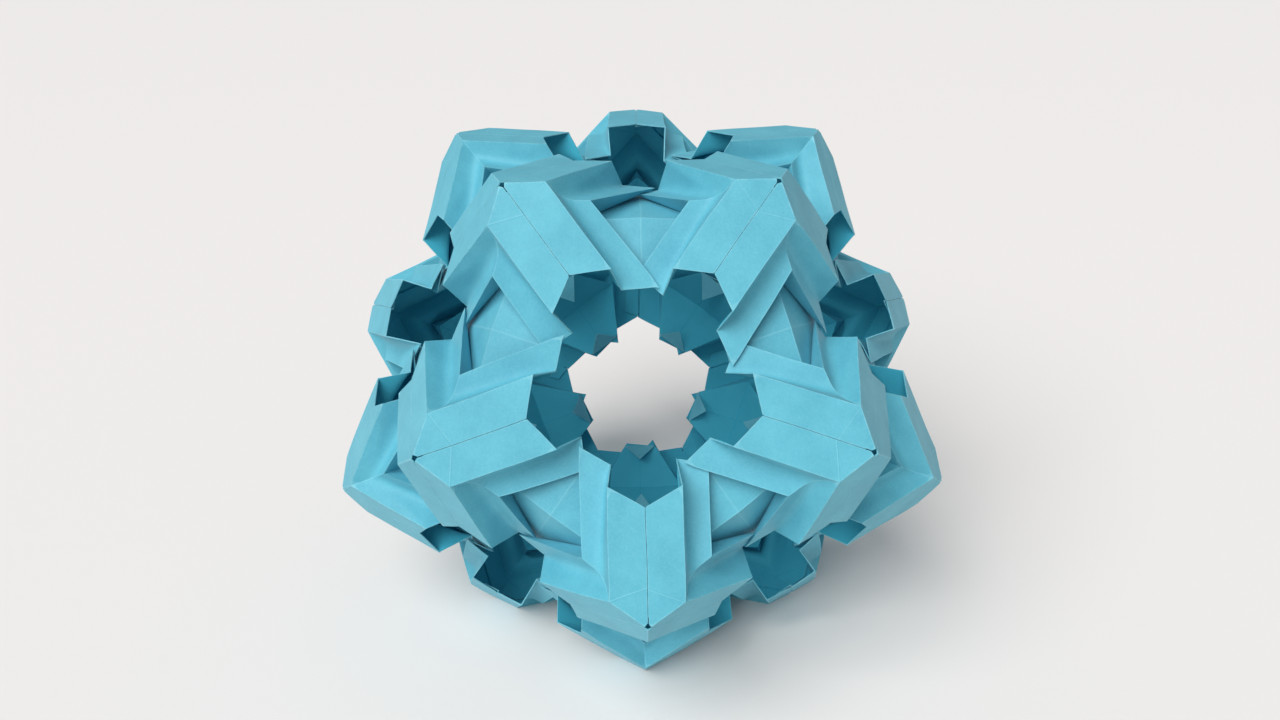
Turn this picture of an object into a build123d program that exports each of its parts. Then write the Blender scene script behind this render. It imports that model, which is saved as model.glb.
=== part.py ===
"""Folded paper dodecahedron: thirty folded sheets, one along each edge of the figure.

Every sheet is one solid. It is pleated in chevrons from both ends, so that it has a ridge and two
outer strips at each corner of the figure, a step down to a ledge, and a deep panel in the middle.
Three sheets meet at each corner and leave a fine slit between their outer strips. The figure
stands on one of its pentagons and sags a little under its own weight.
"""
from build123d import *
import math
import os

os.makedirs("parts", exist_ok=True)

# The whole figure, in millimetres.
EDGE = 70.0  # straight distance between two neighbouring corners of the dodecahedron
SHEET = 0.4  # thickness of the folded paper
SLIT = 0.24  # clear width of the slit between the outer strips of two sheets
TIP_CUT = 0.9  # how far each sheet stops short of the corner, which leaves a small hole there

# The folds near each end of a sheet, in millimetres from its tip.
RIDGE = 11.2  # ridge from the tip to the first chevron
SLIT_LENGTH = 29.0  # length of the slit along an outer strip
CHEVRON_LENGTH = 27.4  # length of the first chevron's ridge, along the strip's other side
STEP_ALONG = 15.2  # where the valley behind the first chevron lies along the sheet
STEP_DEPTH = 7.2  # how deep that valley lies at the middle of the sheet's width
LEDGE_ALONG = 22.2  # where the ledge ends along the sheet
LEDGE_DEPTH = 7.5  # how deep the end of the ledge lies

# The folds near the middle of a sheet, in millimetres from its middle line.
VALLEY_OUT = 18.3  # how far to the side the valley reaches
VALLEY_END = 4.9  # how far before the middle the side end of the valley lies
VALLEY_END_HIGH = 20.8  # depth of that end on the half that laps over
VALLEY_END_LOW = 22.8  # depth of that end on the half that is lapped
LAP_OUT = 17.2  # how far to the side the lapping ledge reaches
LAP_PAST = 3.9  # how far past the middle its side end lies
LAP_DEPTH = 20.5  # how deep that end lies
LAP_UNDER = 1.0  # how far the lapped ledge runs in under the lapping one
PANEL_HALF = 16.1  # half length of the middle panel
PANEL_DEPTH = 14.8  # how deep the ends of its long crease lie
PANEL_DOME = 0.6  # how far the crossing of its two creases stands up
PANEL_OUT = 15.8  # how far to the side the panel reaches
PANEL_SIDE_HALF = 6.0  # half length of its side edge
PANEL_SIDE_DEPTH = 22.4  # how deep the side edge lies
POINT_LENGTH = 8.3  # small triangle that is folded in at each side of the panel
POINT_ANGLE = 24.0  # how far it stands off below the level, in degrees

# The tongue that each sheet slips under its neighbour at a slit, in millimetres.
TONGUE_START = 1.6  # where it begins along the slit
TONGUE_STOP = 1.2  # how far before the slit's inner end it stops
TONGUE_WIDTH = 5.3  # how far it reaches under the neighbour
TONGUE_SLANT = 4.2  # how much shorter its far edge is at the tip
TONGUE_DROP = 0.75  # how far it lies below the outer strips

# How the standing figure sags: for its four rings of corners, from the floor up, the height as a
# share of the height of the even figure, and the spread as a share of the even spread.
SAG_RISE_RATIOS = (0.0, 0.337, 0.582, 0.977)
SAG_SPREAD_RATIOS = (0.901, 1.018, 1.018, 1.006)

# Angles of the even dodecahedron.
GOLDEN = (1 + math.sqrt(5)) / 2
HALF_CORNER = math.radians(54)
HALF_FOLD = math.atan(1 / GOLDEN)
CORNER_RADIUS = EDGE * math.sqrt(3) * GOLDEN / 2
WAIST = EDGE * GOLDEN**2 / 2
RING_SMALL = EDGE / (2 * math.sin(math.radians(36)))
RING_LARGE = RING_SMALL * GOLDEN
TOP = math.sqrt(CORNER_RADIUS**2 - RING_SMALL**2)
UPPER = math.sqrt(CORNER_RADIUS**2 - RING_LARGE**2)
RING_HEIGHTS = (-TOP, -UPPER, UPPER, TOP)

# Directions in the frame of a sheet: x across, y along towards its tip, z outwards.
ALONG = Vector(0, -1, 0)
SLIT_DIR = Vector(
    math.sin(HALF_CORNER) * math.cos(HALF_FOLD),
    -math.cos(HALF_CORNER),
    -math.sin(HALF_CORNER) * math.sin(HALF_FOLD),
)
STRIP_NORMAL = Vector(math.sin(HALF_FOLD), 0, math.cos(HALF_FOLD))
OVER_SLIT = SLIT_DIR.cross(STRIP_NORMAL) * -1


def corner(height, azimuth):
    """Corner of the even figure, on the ring at this height, azimuth 0 to the front."""
    radius = RING_SMALL if abs(height) > UPPER * 2 else RING_LARGE
    turn = math.radians(azimuth)
    return Vector(radius * math.sin(turn), -radius * math.cos(turn), height)


def through_rings(values, height):
    """Smooth curve through one value for each of the four rings."""
    total = 0.0
    for i, value in enumerate(values):
        share = 1.0
        for j, other in enumerate(RING_HEIGHTS):
            if j != i:
                share *= (height - other) / (RING_HEIGHTS[i] - other)
        total += value * share
    return total


def sagged(point):
    """Where a point of the even figure ends up in the standing one, floor at height zero."""
    spread = through_rings(SAG_SPREAD_RATIOS, point.Z)
    rise = through_rings(SAG_RISE_RATIOS, point.Z) * 2 * TOP
    return Vector(point.X * spread, point.Y * spread, rise + SHEET / 2)


def half_outline(lapping, tongued):
    """Named points of the right-hand side of one half of a sheet, measured from its tip."""
    middle = -EDGE / 2
    inset = SLIT / 2 + (SHEET / 2 if tongued else 0)
    first = ALONG * RIDGE
    slit_end = SLIT_DIR * SLIT_LENGTH + ALONG * (inset / math.sin(HALF_CORNER))
    slit_start = slit_end - SLIT_DIR * ((slit_end.Y + TIP_CUT) / SLIT_DIR.Y)
    root_start = slit_start + SLIT_DIR * TONGUE_START
    root_stop = slit_end - SLIT_DIR * TONGUE_STOP
    drop = STRIP_NORMAL * -TONGUE_DROP
    reach = drop + OVER_SLIT * TONGUE_WIDTH
    depth = VALLEY_END_HIGH if lapping else VALLEY_END_LOW
    points = {
        "tip": ALONG * TIP_CUT,
        "slit_start": slit_start,
        "root_start": root_start,
        "root_stop": root_stop,
        "slit_end": slit_end,
        "tongue_start": root_start + drop,
        "tongue_stop": root_stop + drop,
        "tongue_far_start": root_start + reach + SLIT_DIR * TONGUE_SLANT,
        "tongue_far_stop": root_stop + reach - SLIT_DIR * TONGUE_STOP,
        "first": first,
        "first_side": first + SLIT_DIR * CHEVRON_LENGTH,
        "valley": Vector(0, -STEP_ALONG, -STEP_DEPTH),
        "valley_side": Vector(VALLEY_OUT, middle + VALLEY_END, -depth),
        "ledge": Vector(0, -LEDGE_ALONG, -LEDGE_DEPTH),
        "panel": Vector(0, middle + PANEL_HALF, -PANEL_DEPTH),
        "panel_side": Vector(PANEL_OUT, middle + PANEL_SIDE_HALF, -PANEL_SIDE_DEPTH),
    }
    lap_end = Vector(LAP_OUT, middle - LAP_PAST, -LAP_DEPTH)
    points["ledge_side"] = lap_end if lapping else lapped_end(points, lap_end)
    return points


def lapped_end(points, lap_end):
    """Where the lower ledge stops, a little way in under the edge that laps over it."""
    ledge = points["ledge"]
    slope = (lap_end.Y - ledge.Y) / lap_end.X
    over = -EDGE - ledge.Y
    reach = (over - ledge.Y - LAP_UNDER * math.hypot(1, slope)) / (2 * slope)
    y = ledge.Y + slope * reach
    valley = points["valley"]
    side = points["valley_side"]
    rise = (ledge.Z - valley.Z) / (ledge.Y - valley.Y)
    fall = (side.Z - valley.Z - rise * (side.Y - valley.Y)) / side.X
    return Vector(reach, y, valley.Z + rise * (y - valley.Y) + fall * reach)


HALF_FACETS = (
    ("tip", "slit_start", "first"),
    ("slit_start", "root_start", "first"),
    ("root_start", "root_stop", "first"),
    ("root_stop", "slit_end", "first"),
    ("slit_end", "first_side", "first"),
    ("first", "first_side", "valley"),
    ("first_side", "valley_side", "valley"),
    ("valley", "valley_side", "ledge"),
    ("valley_side", "ledge_side", "ledge"),
    ("ledge", "ledge_side", "panel"),
    ("ledge_side", "panel_side", "panel"),
)
TONGUE_FACETS = (
    ("root_stop", "root_start", "tongue_start"),
    ("root_stop", "tongue_start", "tongue_stop"),
    ("tongue_stop", "tongue_start", "tongue_far_start"),
    ("tongue_stop", "tongue_far_start", "tongue_far_stop"),
)


def sheet_facets():
    """All facets of one sheet in its own frame, as triples of points, outer side up."""
    facets = []
    sides = {}
    for half in (1, -1):
        for side in (1, -1):
            tongued = half * side > 0
            placed = {}
            for name, p in half_outline(half > 0, tongued).items():
                placed[name] = Vector(side * p.X, half * (p.Y + EDGE / 2), p.Z)
            sides[half, side] = placed
            for names in HALF_FACETS + (TONGUE_FACETS if tongued else ()):
                triple = [placed[name] for name in names]
                facets.append(triple if tongued else triple[::-1])
    crossing = Vector(0, 0, PANEL_DOME - PANEL_DEPTH)
    drop = POINT_LENGTH * math.sin(math.radians(POINT_ANGLE))
    out = PANEL_OUT - POINT_LENGTH * math.cos(math.radians(POINT_ANGLE))
    for side in (1, -1):
        near = sides[1, side]
        far = sides[-1, side]
        edge_middle = Vector(side * PANEL_OUT, 0, -PANEL_SIDE_DEPTH)
        point = Vector(side * out, 0, -PANEL_SIDE_DEPTH - drop)
        for triple in (
            [near["panel"], near["panel_side"], edge_middle],
            [near["panel"], edge_middle, crossing],
            [crossing, edge_middle, far["panel"]],
            [edge_middle, far["panel_side"], far["panel"]],
            [near["panel_side"], point, edge_middle],
            [edge_middle, point, far["panel_side"]],
        ):
            facets.append(triple if side > 0 else triple[::-1])
    return facets


def key(point):
    """Rounded position, by which equal points are known."""
    return (round(point.X, 5), round(point.Y, 5), round(point.Z, 5))


def solve(rows, right):
    """Solution of three equations, the rows of the matrix given as vectors."""
    crosses = (rows[1].cross(rows[2]), rows[2].cross(rows[0]), rows[0].cross(rows[1]))
    whole = rows[0].dot(crosses[0])
    return (crosses[0] * right.X + crosses[1] * right.Y + crosses[2] * right.Z) * (1 / whole)


def face_shifts(facets):
    """For each point, the shift that moves all facets round it outwards by one unit."""
    normals = {}
    for triple in facets:
        normal = (triple[1] - triple[0]).cross(triple[2] - triple[0]).normalized()
        for p in triple:
            normals.setdefault(key(p), []).append(normal)
    shifts = {}
    for name, found in normals.items():
        rows = []
        for axis in (Vector(1, 0, 0), Vector(0, 1, 0), Vector(0, 0, 1)):
            row = axis * 0.002
            for n in found:
                row = row + n * n.dot(axis)
            rows.append(row)
        total = Vector(0, 0, 0)
        for n in found:
            total = total + n
        shift = solve(rows, total)
        shifts[name] = shift * min(1.0, 2.6 / shift.length)
    return shifts


def thick_sheet(facets):
    """Solid of even thickness on both sides of the facets."""
    shifts = face_shifts(facets)

    def moved(p, amount):
        return p + shifts[key(p)] * amount

    half = SHEET / 2
    triangles = []
    edges = {}
    for a, b, c in facets:
        triangles.append((moved(a, half), moved(b, half), moved(c, half)))
        triangles.append((moved(c, -half), moved(b, -half), moved(a, -half)))
        for p, q in ((a, b), (b, c), (c, a)):
            edges[key(p), key(q)] = (p, q)
    for (start, end), (p, q) in edges.items():
        if (end, start) not in edges:
            triangles.append((moved(q, half), moved(p, half), moved(p, -half)))
            triangles.append((moved(q, half), moved(p, -half), moved(q, -half)))
    faces = [Face(Wire.make_polygon(t, close=True)) for t in triangles]
    return Solid(Shell(faces))


def on_edge(facets, tip, other):
    """The facets of a sheet laid along the edge between two corners, in the standing figure."""
    middle = (tip + other) * 0.5
    along = (tip - other).normalized()
    out = middle.normalized()
    across = along.cross(out)
    placed = []
    for triple in facets:
        turned = [middle + across * p.X + along * p.Y + out * p.Z for p in triple]
        placed.append([sagged(p) for p in turned])
    return placed


def edges_of_figure():
    """Name, corner at the lapping half and corner at the lapped half, for all thirty edges."""
    found = []
    for i in range(5):
        turn = 72 * i
        top = corner(TOP, turn + 36)
        upper = corner(UPPER, turn + 36)
        lower = corner(-UPPER, turn)
        base = corner(-TOP, turn)
        # The first of the upper sheets is folded with its other half on top.
        pair = (top, upper) if i == 0 else (upper, top)
        found.append((f"sheet_top_{i + 1}", corner(TOP, turn - 36), top))
        found.append((f"sheet_upper_{i + 1}", *pair))
        found.append((f"sheet_belt_{2 * i + 1}", upper, lower))
        found.append((f"sheet_belt_{2 * i + 2}", corner(-UPPER, turn + 72), upper))
        found.append((f"sheet_lower_{i + 1}", base, lower))
        found.append((f"sheet_base_{i + 1}", corner(-TOP, turn + 72), base))
    return found


sheet = sheet_facets()
for node, tip, other in edges_of_figure():
    solid = thick_sheet(on_edge(sheet, tip, other))
    export_step(solid, f"parts/{node}.step")
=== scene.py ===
import math
import random

import bpy
import numpy as np
from mathutils import Euler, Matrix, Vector, noise


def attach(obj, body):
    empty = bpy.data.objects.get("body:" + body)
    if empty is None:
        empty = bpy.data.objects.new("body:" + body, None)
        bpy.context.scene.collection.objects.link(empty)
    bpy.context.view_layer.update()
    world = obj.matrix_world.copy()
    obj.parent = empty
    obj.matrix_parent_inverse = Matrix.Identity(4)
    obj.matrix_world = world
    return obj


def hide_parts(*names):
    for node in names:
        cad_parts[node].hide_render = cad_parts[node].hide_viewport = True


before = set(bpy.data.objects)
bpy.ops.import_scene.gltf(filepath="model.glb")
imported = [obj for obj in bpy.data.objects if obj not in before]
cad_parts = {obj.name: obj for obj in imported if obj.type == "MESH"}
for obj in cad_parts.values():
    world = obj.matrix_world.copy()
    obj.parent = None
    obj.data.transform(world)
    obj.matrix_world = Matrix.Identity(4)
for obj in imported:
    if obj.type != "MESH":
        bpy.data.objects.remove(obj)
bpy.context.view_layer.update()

# The folded sheet, in millimetres, in its own frame: x across, y along it, z outwards.
EDGE = 70.0  # straight distance between two neighbouring corners of the figure
PAPER = 0.32  # shown thickness of a folded layer
SLIT = 0.12  # clear width between the outer strips of two sheets
TIP_CUT = 0.9  # how far a sheet stops short of the corner
LIFT = 0.2  # how high the figure's corners lie over the floor, so that the paper stands on it

# Folds near a tip: how far along the sheet, how deep, and how long.
RIDGE = 11.2
SLIT_LENGTH = 29.0
CHEVRON_LENGTH = 27.4
VALLEY_ALONG, VALLEY_DEPTH = 15.2, 7.2
LEDGE_ALONG, LEDGE_DEPTH = 22.2, 7.5

# Folds near the middle: how far to the side, how far from the middle line, and how deep.
VALLEY_OUT, VALLEY_END = 18.3, 4.9
VALLEY_END_HIGH, VALLEY_END_LOW = 20.8, 22.8
LAP_OUT, LAP_PAST, LAP_DEPTH = 17.2, 3.9, 20.5
LAP_UNDER = 1.0
PANEL_HALF, PANEL_DEPTH, PANEL_DOME = 16.1, 14.8, 0.8
PANEL_OUT, PANEL_SIDE_HALF, PANEL_SIDE_DEPTH = 15.8, 6.0, 22.4
POINT_LENGTH, POINT_ANGLE = 8.3, math.radians(24)

# The tongue under the neighbour's strip.
TONGUE_START, TONGUE_STOP = 1.6, 0.35
TONGUE_WIDTH, TONGUE_DROP = 5.3, 0.75
TONGUE_SLANT_START, TONGUE_SLANT_STOP = 4.2, 2.0

# How the standing figure sags: for its four rings of corners, from the floor up.
SAG_RISE = (0.0, 0.337, 0.582, 0.977)  # height, as a share of the whole height
SAG_SPREAD = (0.901, 1.018, 1.018, 1.006)  # spread, as a share of the even one

# How finely and how loosely the paper is folded.
GRID = 10  # parts into which each side of a facet is divided
HAND = 0.45  # how far fold points stray on each sheet
SOFT_RADIUS, SOFT_ROUNDS, SOFT_STEP = 2.4, 26, 0.55  # how the soft valleys are rounded
WIDE_WAVE, WIDE_LENGTH = 0.55, 31.0  # slight waves of the paper and how long they are
CLOSE_WAVE, CLOSE_LENGTH, CLOSE_PLACE = 0.13, 11.0, Vector((7, 3, 5))
WAVE_SEED = 1  # the waves are the same at every run
FLOOR_CALM = 12.0  # below this height the waves no longer lift the paper
SHARP_ANGLE = 0.03  # folds flatter than this are not kept sharp
RIM_SWELL = 0.05  # how far the paper's cut edge is rounded outwards
MITRE_LIMIT = 2.4  # longest shift at a sharp fold, in half thicknesses of the paper
MITRE_EASE = 0.01  # keeps the shift square to the paper where it is flat
RIM_TURN = 0.5  # holds the rim's points back where it turns sharply
MARK_PLACE = 0.31  # where along the slit a pressed crease ends
FAR = 9.0  # stands for no fold or crease near by
MILLIMETRE = 0.001

# Colours and light.
PAPER_DARK = (0.080, 0.385, 0.505)
PAPER_LIGHT = (0.108, 0.462, 0.585)
# pale paper: fibre specks and worn folds, and also painted highlight on the folds, the cut edges
# and the pressed creases
PAPER_WEAR_AND_HIGHLIGHT = (0.330, 0.720, 0.800)
# painted shade in the pressed creases: the dark flank outside and the dark line inside
PAPER_PAINTED_SHADE = (0.000, 0.215, 0.335)
# painted shade for the inner side, which faces the figure's shaded hollow; the paper itself is the
# same colour on both sides
PAPER_INSIDE_SHADE = (0.028, 0.430, 0.600)
FLOOR_COLOUR = (0.86, 0.84, 0.825)
FLOOR_SEEN_FAR = (0.85, 0.83, 0.815)
FLOOR_SIZE, FLOOR_BACK = 14, 2.0  # in metres
ROOM_COLOUR, ROOM_STRENGTH = (0.90, 0.95, 1.0), 0.32
TO_WINDOW = Vector((-0.38, -0.58, 0.72))
WINDOW_STRENGTH, WINDOW_COLOUR = 3.15, (1.0, 0.975, 0.955)
WINDOW_ANGLE = math.radians(50)

# The camera stands in front of the figure, a little above it, and looks down at it.
CAMERA_PLACE = (-0.00294, -0.28665, 0.20889)  # in metres
CAMERA_TURN = [math.radians(a) for a in (66.0743, 0.5447, -0.8031)]
CAMERA_LENS, CAMERA_SENSOR, CAMERA_CLIP = 26.91, 36, 0.01

GOLDEN = (1 + math.sqrt(5)) / 2
HALF_CORNER = math.radians(54)
HALF_FOLD = math.atan(1 / GOLDEN)
CORNER_RADIUS = EDGE * math.sqrt(3) * GOLDEN / 2
RING_SMALL = EDGE / (2 * math.sin(math.radians(36)))
RING_LARGE = RING_SMALL * GOLDEN
TOP = math.sqrt(CORNER_RADIUS**2 - RING_SMALL**2)
UPPER = math.sqrt(CORNER_RADIUS**2 - RING_LARGE**2)
RING_HEIGHTS = (-TOP, -UPPER, UPPER, TOP)


def v(x, y, z):
    return np.array([x, y, z], float)


ALONG = v(0, -1, 0)
SLIT_DIR = v(
    math.sin(HALF_CORNER) * math.cos(HALF_FOLD),
    -math.cos(HALF_CORNER),
    -math.sin(HALF_CORNER) * math.sin(HALF_FOLD),
)
STRIP_NORMAL = v(math.sin(HALF_FOLD), 0, math.cos(HALF_FOLD))
OVER_SLIT = -np.cross(SLIT_DIR, STRIP_NORMAL)


def corner(height, azimuth):
    radius = RING_SMALL if abs(height) > UPPER * 2 else RING_LARGE
    turn = math.radians(azimuth)
    return v(radius * math.sin(turn), -radius * math.cos(turn), height)


def through_rings(values, height):
    total = 0.0
    for i, value in enumerate(values):
        share = 1.0
        for j, other in enumerate(RING_HEIGHTS):
            if j != i:
                share = share * (height - other) / (RING_HEIGHTS[i] - other)
        total = total + value * share
    return total


def sagged(points):
    """Points of the even figure, one a row, where they are in the standing one."""
    spread = through_rings(SAG_SPREAD, points[:, 2])
    rise = through_rings(SAG_RISE, points[:, 2]) * 2 * TOP
    return np.stack([points[:, 0] * spread, points[:, 1] * spread, rise + LIFT], 1)


def half_points(lapping, tongued, hand):
    """Named fold points of the right-hand side of one half, measured from its tip."""
    middle = -EDGE / 2
    inset = SLIT / 2 + (PAPER / 2 if tongued else 0)
    first = ALONG * RIDGE
    slit_end = SLIT_DIR * SLIT_LENGTH + ALONG * (inset / math.sin(HALF_CORNER))
    slit_start = slit_end - SLIT_DIR * ((slit_end[1] + TIP_CUT) / SLIT_DIR[1])
    root_start = slit_start + SLIT_DIR * TONGUE_START
    root_stop = slit_end - SLIT_DIR * TONGUE_STOP
    drop = STRIP_NORMAL * -TONGUE_DROP
    reach = drop + OVER_SLIT * TONGUE_WIDTH
    side_depth = VALLEY_END_HIGH if lapping else VALLEY_END_LOW
    side = v(VALLEY_OUT, middle + VALLEY_END, -side_depth) + hand["side"]
    points = {
        "tip": ALONG * TIP_CUT,
        "slit_start": slit_start,
        "root_start": root_start,
        "root_stop": root_stop,
        "slit_end": slit_end,
        "tongue_start": root_start + drop,
        "tongue_stop": root_stop + drop,
        "tongue_far_start": root_start + reach + SLIT_DIR * TONGUE_SLANT_START,
        "tongue_far_stop": root_stop + reach - SLIT_DIR * TONGUE_SLANT_STOP,
        "first": first,
        "first_side": first + SLIT_DIR * CHEVRON_LENGTH,
        "valley": v(0, -VALLEY_ALONG, -VALLEY_DEPTH) + hand["valley"],
        "valley_side": side,
        "ledge": v(0, -LEDGE_ALONG, -LEDGE_DEPTH) + hand["ledge"],
        "panel": v(0, middle + PANEL_HALF, -PANEL_DEPTH) + hand["panel"],
        "panel_side": v(PANEL_OUT, middle + PANEL_SIDE_HALF, -PANEL_SIDE_DEPTH),
    }
    lap_end = v(LAP_OUT, middle - LAP_PAST, -LAP_DEPTH) + hand["lap"]
    points["ledge_side"] = lap_end if lapping else lapped_end(points, lap_end)
    return points


def lapped_end(points, lap_end):
    """Where the lower ledge stops, a little way in under the edge that laps over it."""
    ledge, valley, side = points["ledge"], points["valley"], points["valley_side"]
    slope = (lap_end[1] - ledge[1]) / lap_end[0]
    over = -EDGE - ledge[1]
    reach = (over - ledge[1] - LAP_UNDER * math.hypot(1, slope)) / (2 * slope)
    y = ledge[1] + slope * reach
    rise = (ledge[2] - valley[2]) / (ledge[1] - valley[1])
    fall = (side[2] - valley[2] - rise * (side[1] - valley[1])) / side[0]
    return v(reach, y, valley[2] + rise * (y - valley[1]) + fall * reach)


# Each facet is three fold points and, for the sides 1-2, 2-3 and 3-1, what lies there:
# f for a fold or an edge, k for a pressed crease, s for a soft valley and a dot for nothing.
HALF_FACETS = (
    ("tip", "slit_start", "first", "f.f"),
    ("slit_start", "root_start", "first", "f.."),
    ("root_start", "root_stop", "first", "f.."),
    ("root_stop", "slit_end", "first", "f.."),
    ("slit_end", "first_side", "first", "ff."),
    ("first", "first_side", "valley", "f.f"),
    ("first_side", "valley_side", "valley", "fs."),
    ("valley", "valley_side", "ledge", "s.f"),
    ("valley_side", "ledge_side", "ledge", "ff."),
    ("ledge", "ledge_side", "panel", "f.f"),
    ("ledge_side", "panel_side", "panel", "ff."),
)
TONGUE_FACETS = (
    ("root_stop", "root_start", "tongue_start", "ff."),
    ("root_stop", "tongue_start", "tongue_stop", ".ff"),
    ("tongue_stop", "tongue_start", "tongue_far_start", "ff."),
    ("tongue_stop", "tongue_far_start", "tongue_far_stop", ".ff"),
)
PANEL_FACETS = (
    ("near_panel", "near_side", "edge_middle", "ff."),
    ("near_panel", "edge_middle", "crossing", ".kk"),
    ("crossing", "edge_middle", "far_panel", "k.k"),
    ("edge_middle", "far_side", "far_panel", "ff."),
    ("near_side", "point", "edge_middle", "f.f"),
    ("edge_middle", "point", "far_side", ".ff"),
)


def sheet_facets(rng, spread):
    """All facets of one sheet: three points, the codes of its sides, and the line of a pressed
    crease that crosses it, or None."""
    facets = []
    sides = {}
    for half in (1, -1):
        wobble = {k: v(0, rng.uniform(-1, 1), rng.uniform(-0.5, 0.5)) * spread
                  for k in ("valley", "ledge", "panel")}
        for side in (1, -1):
            tongued = half * side > 0
            hand = dict(wobble)
            hand["side"] = v(rng.uniform(-0.5, 0.5), rng.uniform(-1, 1), 0) * spread
            hand["lap"] = v(rng.uniform(-0.5, 0.5), rng.uniform(-0.7, 0.7), 0) * spread
            placed = {}
            for name, p in half_points(half > 0, tongued, hand).items():
                placed[name] = v(side * p[0], half * (p[1] + EDGE / 2), p[2])
            sides[half, side] = placed
            # a pressed crease runs from the ridge across the outer strip to the slit
            slit = placed["slit_end"] - placed["slit_start"]
            far = placed["slit_start"] + slit * MARK_PLACE
            mark = (placed["first"], far)
            for *names, codes in HALF_FACETS + (TONGUE_FACETS if tongued else ()):
                line = mark if names[2] == "first" else None
                facets.append(turned([placed[n] for n in names], codes, line, tongued))
    for side in (1, -1):
        near, far = sides[1, side], sides[-1, side]
        out = PANEL_OUT - POINT_LENGTH * math.cos(POINT_ANGLE)
        depth = PANEL_SIDE_DEPTH + POINT_LENGTH * math.sin(POINT_ANGLE)
        points = {
            "near_panel": near["panel"],
            "far_panel": far["panel"],
            "near_side": near["panel_side"],
            "far_side": far["panel_side"],
            "edge_middle": v(side * PANEL_OUT, 0, -PANEL_SIDE_DEPTH),
            "crossing": v(0, 0, -(PANEL_DEPTH - PANEL_DOME)),
            "point": v(side * out, 0, -depth),
        }
        for *names, codes in PANEL_FACETS:
            facets.append(turned([points[n] for n in names], codes, None, side > 0))
    return facets


def turned(triple, codes, line, keep):
    """A facet with its inner side up; on mirrored sides the order of the points is reversed."""
    if keep:
        return triple, codes, line
    a, b, c = triple
    return [c, b, a], codes[1] + codes[0] + codes[2], line


def refined(facets):
    """Fine mesh of the facets. It gives the points, the triangles and, for each corner of each
    triangle, the distances to the next fold and to two pressed creases; and for each point the
    kinds of line that it lies on and its distance from a soft valley."""
    index = {}
    points = []
    triangles = []
    distances = []
    folded = {}
    valleys = []

    def number(p):
        name = (round(p[0], 4), round(p[1], 4), round(p[2], 4))
        if name not in index:
            index[name] = len(points)
            points.append(p)
        return index[name]

    for (a, b, c), codes, line in facets:
        normal = np.cross(b - a, c - a)
        area2 = np.linalg.norm(normal)
        normal = normal / area2
        heights = (area2 / np.linalg.norm(c - b), area2 / np.linalg.norm(a - c),
                   area2 / np.linalg.norm(b - a))
        if line is not None:
            along = line[1] - line[0]
            across = np.cross(along / np.linalg.norm(along), normal)
        grid = {}
        for i in range(GRID + 1):
            for j in range(GRID + 1 - i):
                k = GRID - i - j
                p = (a * k + b * i + c * j) / GRID
                n = number(p)
                # distances to the sides a-b, b-c and c-a
                d = (heights[2] * j / GRID, heights[0] * k / GRID, heights[1] * i / GRID)
                fold = min([FAR] + [x for x, t in zip(d, codes) if t == "f"])
                press = [x for x, t in zip(d, codes) if t == "k"] + [FAR, FAR]
                if line is not None:
                    press[0] = float(np.dot(p - line[0], across))
                grid[i, j] = (n, fold, press[0], press[1])
                for x, t in zip(d, codes):
                    if x < 1e-6 and t != ".":
                        folded.setdefault(n, set()).add(t)
        for i in range(GRID):
            for j in range(GRID - i):
                cells = [((i, j), (i + 1, j), (i, j + 1))]
                if i + j < GRID - 1:
                    cells.append(((i + 1, j), (i + 1, j + 1), (i, j + 1)))
                for cell in cells:
                    triangles.append([grid[s][0] for s in cell])
                    distances.extend(grid[s][1:] for s in cell)
        for t, p, q in zip(codes, (a, b, c), (b, c, a)):
            if t == "s":
                valleys.append((p, q))
    points = np.array(points)
    triangles = np.array(triangles)
    soft = np.full(len(points), 1e9)
    for p, q in valleys:
        d = q - p
        t = np.clip((points - p) @ d / (d @ d), 0, 1)
        soft = np.minimum(soft, np.linalg.norm(points - p - t[:, None] * d, axis=1))
    kinds = [folded.get(n, set()) for n in range(len(points))]
    return points, triangles, np.array(distances), kinds, soft


def softened(points, triangles, kinds, soft):
    """Rounds the soft valleys: points near them move towards their neighbours."""
    edges = np.unique(np.sort(np.concatenate([triangles[:, [0, 1]], triangles[:, [1, 2]],
                                              triangles[:, [2, 0]]]), axis=1), axis=0)
    spine = np.array([abs(p[0]) < 1e-6 for p in points])
    fixed = np.array(["f" in k or "k" in k for k in kinds])
    # the spine's own points move along the spine only, apart from the ends of its two parts
    on_spine = spine & fixed
    pairs = [(i, j) for i, j in edges
             if not (fixed[i] and fixed[j]) or (on_spine[i] and on_spine[j])]
    pairs = np.array(pairs)
    both = np.concatenate([pairs, pairs[:, ::-1]])
    keep = ~on_spine[both[:, 0]] | on_spine[both[:, 1]]
    both = both[keep]
    weight = np.exp(-((soft / SOFT_RADIUS) ** 2))
    weight[fixed & ~on_spine] = 0
    moved = points.copy()
    count = np.zeros(len(points))
    np.add.at(count, both[:, 0], 1)
    count[count == 0] = 1
    for _ in range(SOFT_ROUNDS):
        total = np.zeros_like(moved)
        np.add.at(total, both[:, 0], moved[both[:, 1]])
        mean = total / count[:, None]
        step = (mean - moved) * (SOFT_STEP * weight)[:, None]
        step[total.sum(1) == 0] = 0
        moved = moved + step
    return moved


def on_edge(points, tip, other):
    """Points of a sheet, placed on the edge between two corners of the figure."""
    middle = (tip + other) / 2
    along = (tip - other) / np.linalg.norm(tip - other)
    out = middle / np.linalg.norm(middle)
    across = np.cross(along, out)
    placed = middle + points[:, :1] * across + points[:, 1:2] * along + points[:, 2:] * out
    return sagged(placed)


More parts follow.
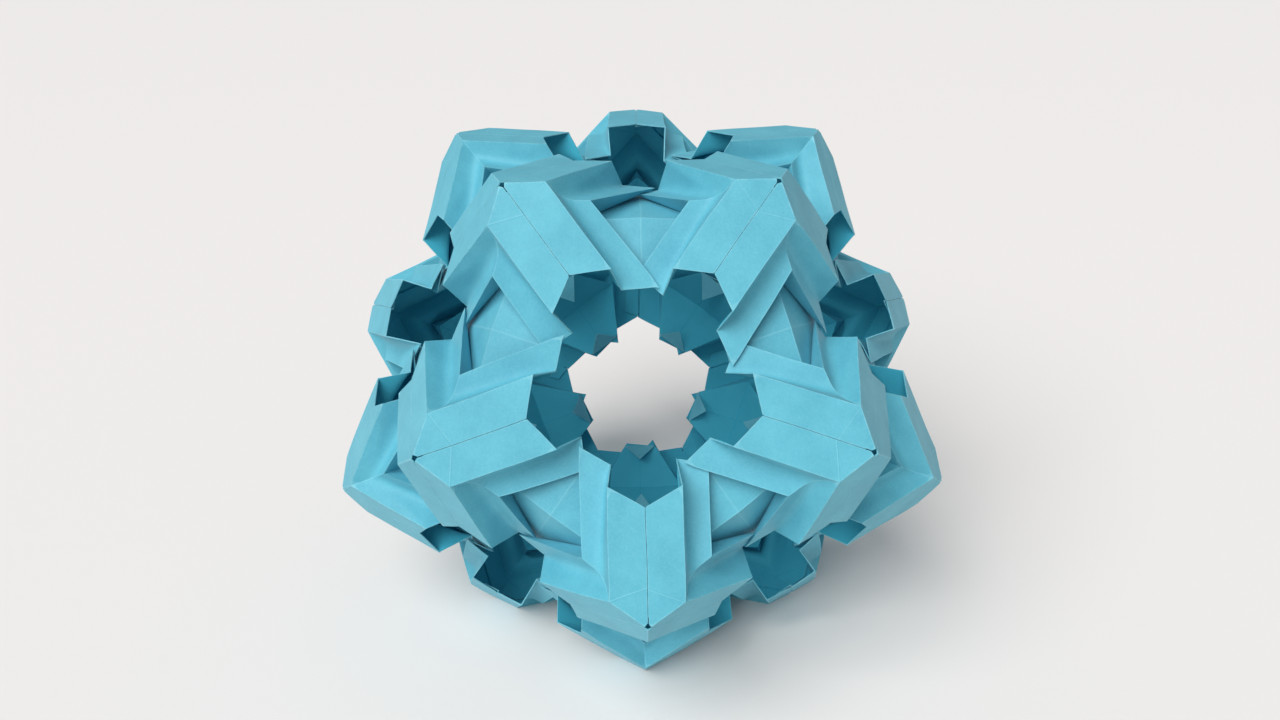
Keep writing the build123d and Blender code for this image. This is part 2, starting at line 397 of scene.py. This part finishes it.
def creased_by_hand(points):
    """Slight waves through the whole figure, the same for touching sheets. Near the floor they
    only go sideways."""
    out = points.copy()
    for i, p in enumerate(points):
        wide = noise.noise_vector(Vector(p) / WIDE_LENGTH)
        close = noise.noise_vector(Vector(p) / CLOSE_LENGTH + CLOSE_PLACE)
        lift = min(1.0, p[2] / FLOOR_CALM)
        d = wide * WIDE_WAVE + close * CLOSE_WAVE
        out[i] += (d.x, d.y, d.z * lift)
    return out


def shifts_of(points, triangles):
    """For each point, the shift that moves all faces round it by one unit, to their upper side."""
    a, b, c = (points[triangles[:, k]] for k in range(3))
    n = np.cross(b - a, c - a)
    n = n / np.maximum(np.linalg.norm(n, axis=1), 1e-12)[:, None]
    matrix = np.zeros((len(points), 3, 3))
    total = np.zeros((len(points), 3))
    outer = n[:, :, None] * n[:, None, :]
    for k in range(3):
        np.add.at(matrix, triangles[:, k], outer)
        np.add.at(total, triangles[:, k], n)
    matrix = matrix + np.eye(3) * MITRE_EASE
    shift = np.linalg.solve(matrix, total[:, :, None])[:, :, 0]
    length = np.linalg.norm(shift, axis=1)
    return shift * np.minimum(1.0, MITRE_LIMIT / length)[:, None]


def rim_of(points, triangles):
    """Directed outer edges, and for each rim point the direction away from the sheet."""
    directed = {}
    for t, (i, j, k) in enumerate(triangles):
        directed[i, j] = directed[j, k] = directed[k, i] = t
    rim = [(e, t) for e, t in directed.items() if (e[1], e[0]) not in directed]
    away = {}
    for (i, j), t in rim:
        a, b, c = points[triangles[t]]
        normal = np.cross(b - a, c - a)
        d = np.cross(points[j] - points[i], normal)
        d = d / np.linalg.norm(d)
        away[i] = away.get(i, 0) + d
        away[j] = away.get(j, 0) + d
    for i, d in away.items():
        away[i] = d / max(np.linalg.norm(d), RIM_TURN)
    return [e for e, _ in rim], away


def paper_mesh(name, points, triangles, distances):
    """The sheet as a closed mesh, with a rounded rim and the distances stored at its corners."""
    half = PAPER / 2
    shift = shifts_of(points, triangles)
    rim, away = rim_of(points, triangles)
    count = len(points)
    order = sorted(away)
    middle_of = {i: 2 * count + n for n, i in enumerate(order)}
    middles = np.array([points[i] + away[i] * RIM_SWELL for i in order])
    verts = np.concatenate([points + shift * half, points - shift * half, middles])
    inner = triangles
    outer = triangles[:, ::-1] + count
    quads = []
    for i, j in rim:
        quads.append((j, i, middle_of[i], middle_of[j]))
        quads.append((middle_of[j], middle_of[i], i + count, j + count))
    faces = [tuple(map(int, t)) for t in inner] + [tuple(map(int, t)) for t in outer]
    faces += [tuple(map(int, q)) for q in quads]
    mesh = bpy.data.meshes.new(name)
    mesh.from_pydata((verts * MILLIMETRE).tolist(), [], faces)
    turned_over = distances.reshape(-1, 3, 3)[:, ::-1].reshape(-1, 3)
    # the rim is stored at fold distance 0, so the shader paints the cut edge lighter like a fold:
    # partly worn paper, partly painted highlight
    rim_rest = np.tile((0.0, FAR, FAR), (4 * len(quads), 1))
    values = np.concatenate([distances, turned_over, rim_rest]).astype(np.float32)
    inside = np.zeros(len(values), dtype=np.float32)
    inside[:len(distances)] = 1.0
    for label, column in zip(("fold", "mark", "mark_across", "inside"), (*values.T, inside)):
        layer = mesh.attributes.new(label, "FLOAT", "CORNER")
        layer.data.foreach_set("value", np.ascontiguousarray(column))
    return mesh


def mark_sharp(mesh, kinds):
    """Folds stay crisp: their edges, on both sides of the sheet, are sharp."""
    count = len(kinds)
    crisp = np.array([bool(k & {"f", "k"}) for k in kinds])
    vertex_pairs = np.empty(len(mesh.edges) * 2, dtype=np.int32)
    mesh.edges.foreach_get("vertices", vertex_pairs)
    sharp = mesh.attributes.new("sharp_edge", "BOOLEAN", "EDGE")
    flags = np.zeros(len(mesh.edges), dtype=bool)
    normals = {}
    for p in mesh.polygons:
        for key in p.edge_keys:
            normals.setdefault(key, []).append(p.normal)
    for n, (i, j) in enumerate(vertex_pairs.reshape(-1, 2)):
        i, j = int(i), int(j)
        if i < 2 * count and j < 2 * count and crisp[i % count] and crisp[j % count]:
            pair = normals.get((min(i, j), max(i, j)), [])
            flags[n] = len(pair) == 2 and pair[0].angle(pair[1], 0) > SHARP_ANGLE
    sharp.data.foreach_set("value", flags)
    mesh.polygons.foreach_set("use_smooth", np.ones(len(mesh.polygons), dtype=bool))


def edges_of_figure():
    """Name, corner at the lapping half and corner at the lapped half, for all thirty edges."""
    found = []
    for i in range(5):
        turn = 72 * i
        top = corner(TOP, turn + 36)
        upper = corner(UPPER, turn + 36)
        lower = corner(-UPPER, turn)
        base = corner(-TOP, turn)
        pair = (top, upper) if i == 0 else (upper, top)
        found.append((f"sheet_top_{i + 1}", corner(TOP, turn - 36), top))
        found.append((f"sheet_upper_{i + 1}", *pair))
        found.append((f"sheet_belt_{2 * i + 1}", upper, lower))
        found.append((f"sheet_belt_{2 * i + 2}", corner(-UPPER, turn + 72), upper))
        found.append((f"sheet_lower_{i + 1}", base, lower))
        found.append((f"sheet_base_{i + 1}", corner(-TOP, turn + 72), base))
    return found


def add(tree, kind, settings=None, **inputs):
    """A new node with these settings and input values."""
    n = tree.nodes.new(kind)
    for name, value in (settings or {}).items():
        setattr(n, name, value)
    for name, value in inputs.items():
        n.inputs[name.replace("_", " ")].default_value = value
    return n


def join(tree, source, target):
    tree.links.new(source, target)


def ramp(tree, source, stops):
    """Colour from a row of places and colours."""
    n = tree.nodes.new("ShaderNodeValToRGB")
    n.color_ramp.elements[0].position = stops[0][0]
    n.color_ramp.elements[0].color = (*stops[0][1], 1)
    n.color_ramp.elements[1].position = stops[-1][0]
    n.color_ramp.elements[1].color = (*stops[-1][1], 1)
    for place, colour in stops[1:-1]:
        n.color_ramp.elements.new(place).color = (*colour, 1)
    join(tree, source, n.inputs["Fac"])
    return n.outputs["Color"]


def narrow(tree, source, start, stop, low, high):
    """Value from low at start to high at stop, smooth, held outside."""
    n = tree.nodes.new("ShaderNodeMapRange")
    n.interpolation_type = "SMOOTHSTEP"
    for name, value in (("From Min", start), ("From Max", stop), ("To Min", low), ("To Max", high)):
        n.inputs[name].default_value = value
    join(tree, source, n.inputs["Value"])
    return n.outputs["Result"]


def maths(tree, kind, a, b):
    """Result of one sum; a and b are numbers or outputs of other nodes."""
    n = tree.nodes.new("ShaderNodeMath")
    n.operation = kind
    for slot, value in zip(n.inputs, (a, b)):
        if isinstance(value, (int, float)):
            slot.default_value = value
        else:
            join(tree, value, slot)
    return n.outputs[0]


def blend(tree, factor, a, b):
    """Colour a, or b where the factor is one; each may be a colour or an output."""
    n = tree.nodes.new("ShaderNodeMix")
    n.data_type = "RGBA"
    n.clamp_factor = True
    for slot, value in ((n.inputs["Factor"], factor), (n.inputs["A"], a), (n.inputs["B"], b)):
        if isinstance(value, (int, float)):
            slot.default_value = value
        elif isinstance(value, tuple):
            slot.default_value = (*value, 1)
        else:
            join(tree, value, slot)
    return n.outputs["Result"]


def flank(tree, source, start, middle, stop):
    """One at the middle value, falling to nothing at start and stop."""
    rise = narrow(tree, source, start, middle, 0.0, 1.0)
    return maths(tree, "MULTIPLY", rise, narrow(tree, source, middle, stop, 1.0, 0.0))


def product(tree, *values):
    """Product of numbers and outputs of nodes."""
    result = values[0]
    for value in values[1:]:
        result = maths(tree, "MULTIPLY", result, value)
    return result


def attribute(tree, name):
    return add(tree, "ShaderNodeAttribute", {"attribute_name": name}).outputs["Fac"]


def folded_paper():
    """Dyed paper: cloudy colour, fibres, folds and cut edges painted lighter (worn paper and
    painted highlight), pressed creases painted with highlight and shade, and the inner side painted
    deeper as painted shade. Distances are in millimetres, and the outer side has the value 0 in the
    attribute inside."""
    m = bpy.data.materials.new("turquoise_paper")
    m.use_nodes = True
    t = m.node_tree
    shader = t.nodes["Principled BSDF"]
    place = t.nodes.new("ShaderNodeTexCoord").outputs["Object"]
    fold = attribute(t, "fold")
    mark = attribute(t, "mark")
    mark_across = attribute(t, "mark_across")
    inside = attribute(t, "inside")
    outside = maths(t, "SUBTRACT", 1.0, inside)
    cloud = add(t, "ShaderNodeTexNoise", Scale=90.0, Detail=3.0, Roughness=0.6)
    fibre = add(t, "ShaderNodeTexNoise", Scale=1500.0, Detail=4.0, Roughness=0.7)
    grain = add(t, "ShaderNodeTexNoise", Scale=520.0, Detail=3.0, Roughness=0.6)
    for n in (cloud, fibre, grain):
        join(t, place, n.inputs["Vector"])
    base = ramp(t, cloud.outputs["Fac"], ((0.3, PAPER_DARK), (0.7, PAPER_LIGHT)))
    speck = narrow(t, fibre.outputs["Fac"], 0.35, 0.7, 0.0, 1.0)
    base = blend(t, product(t, speck, 0.10), base, PAPER_WEAR_AND_HIGHLIGHT)
    # folds are painted lighter, unevenly along their length, on the outer side: partly rubbed
    # paper, partly a painted highlight where the rounded fold would catch the light
    rub_and_highlight = product(t, narrow(t, fold, 0.02, 0.26, 1.0, 0.0),
                  narrow(t, grain.outputs["Fac"], 0.3, 0.75, 0.08, 0.42))
    base = blend(t, product(t, rub_and_highlight, outside), base, PAPER_WEAR_AND_HIGHLIGHT)
    # a pressed crease is painted: a painted highlight on the light flank, painted shade on the dark
    # one, and a painted shade line on the inner side
    light = maths(t, "MAXIMUM", flank(t, mark, 0.0, 0.13, 0.30),
                  flank(t, mark_across, 0.0, 0.13, 0.30))
    shaded_flank = flank(t, mark, -0.28, -0.12, 0.02)
    nearest = maths(t, "MINIMUM", maths(t, "ABSOLUTE", mark, 0.0), mark_across)
    line = narrow(t, nearest, 0.05, 0.24, 1.0, 0.0)
    base = blend(t, product(t, light, outside, 0.26), base, PAPER_WEAR_AND_HIGHLIGHT)
    base = blend(t, product(t, shaded_flank, outside, 0.10), base, PAPER_PAINTED_SHADE)
    base = blend(t, product(t, line, inside, 0.5), base, PAPER_PAINTED_SHADE)
    # the inner side is painted a deeper, more saturated colour as painted shade of the hollow, and
    # it is duller
    base = blend(t, product(t, inside, 0.6), base, PAPER_INSIDE_SHADE)
    join(t, base, shader.inputs["Base Color"])
    join(t, narrow(t, inside, 0.0, 1.0, 0.35, 0.08), shader.inputs["Specular IOR Level"])
    shader.inputs["Roughness"].default_value = 0.55
    shader.inputs["Sheen Weight"].default_value = 0.05
    shader.inputs["Sheen Roughness"].default_value = 0.5
    height = maths(t, "ADD", product(t, fibre.outputs["Fac"], 0.5),
                   product(t, grain.outputs["Fac"], 0.8))
    height = maths(t, "ADD", height, product(t, line, 1.2))
    bump = add(t, "ShaderNodeBump", Strength=0.35, Distance=0.00006)
    join(t, height, bump.inputs["Height"])
    join(t, bump.outputs["Normal"], shader.inputs["Normal"])
    return m


def matt_floor():
    m = bpy.data.materials.new("pale_floor")
    m.use_nodes = True
    inputs = m.node_tree.nodes["Principled BSDF"].inputs
    inputs["Base Color"].default_value = (*FLOOR_COLOUR, 1)
    inputs["Roughness"].default_value = 0.9
    inputs["Specular IOR Level"].default_value = 0.2
    return m


def room():
    """Even light from all round; past the floor's edge the camera sees the floor's colour."""
    world = bpy.data.worlds.new("studio")
    world.use_nodes = True
    t = world.node_tree
    lit = t.nodes["Background"]
    lit.inputs["Color"].default_value = (*ROOM_COLOUR, 1)
    lit.inputs["Strength"].default_value = ROOM_STRENGTH
    seen = add(t, "ShaderNodeBackground", Color=(*FLOOR_SEEN_FAR, 1), Strength=1.0)
    either = add(t, "ShaderNodeMixShader")
    path = add(t, "ShaderNodeLightPath")
    join(t, path.outputs["Is Camera Ray"], either.inputs["Fac"])
    join(t, lit.outputs["Background"], either.inputs[1])
    join(t, seen.outputs["Background"], either.inputs[2])
    join(t, either.outputs["Shader"], t.nodes["World Output"].inputs["Surface"])
    return world


scene = bpy.context.scene
turquoise = folded_paper()
noise.seed_set(WAVE_SEED)
for seed, (name, tip, other) in enumerate(edges_of_figure(), 100):
    rng = random.Random(seed)
    points, triangles, distances, kinds, soft = refined(sheet_facets(rng, HAND))
    points = softened(points, triangles, kinds, soft)
    points = creased_by_hand(on_edge(points, tip, other))
    folded = name.replace("sheet", "folded")
    mesh = paper_mesh(folded, points, triangles, distances)
    mark_sharp(mesh, kinds)
    mesh.materials.append(turquoise)
    piece = bpy.data.objects.new(folded, mesh)
    scene.collection.objects.link(piece)
    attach(piece, "root")
    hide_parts(name)

bpy.ops.mesh.primitive_plane_add(size=FLOOR_SIZE, location=(0, FLOOR_BACK, 0))
floor = bpy.context.object
floor.name = "floor"
floor.data.materials.append(matt_floor())
scene.world = room()

# a wide window above, in front and a little to the left: its light comes from this direction
light = bpy.data.lights.new("window", "SUN")
light.energy = WINDOW_STRENGTH
light.color = WINDOW_COLOUR
light.angle = WINDOW_ANGLE
window = bpy.data.objects.new("window", light)
scene.collection.objects.link(window)
window.rotation_euler = TO_WINDOW.to_track_quat("Z", "Y").to_euler()

lens = bpy.data.cameras.new("camera")
lens.lens = CAMERA_LENS
lens.sensor_width = CAMERA_SENSOR
lens.clip_start = CAMERA_CLIP
camera = bpy.data.objects.new("camera", lens)
scene.collection.objects.link(camera)
camera.location = CAMERA_PLACE
camera.rotation_euler = Euler(CAMERA_TURN)
scene.camera = camera

scene.view_settings.view_transform = "Standard"
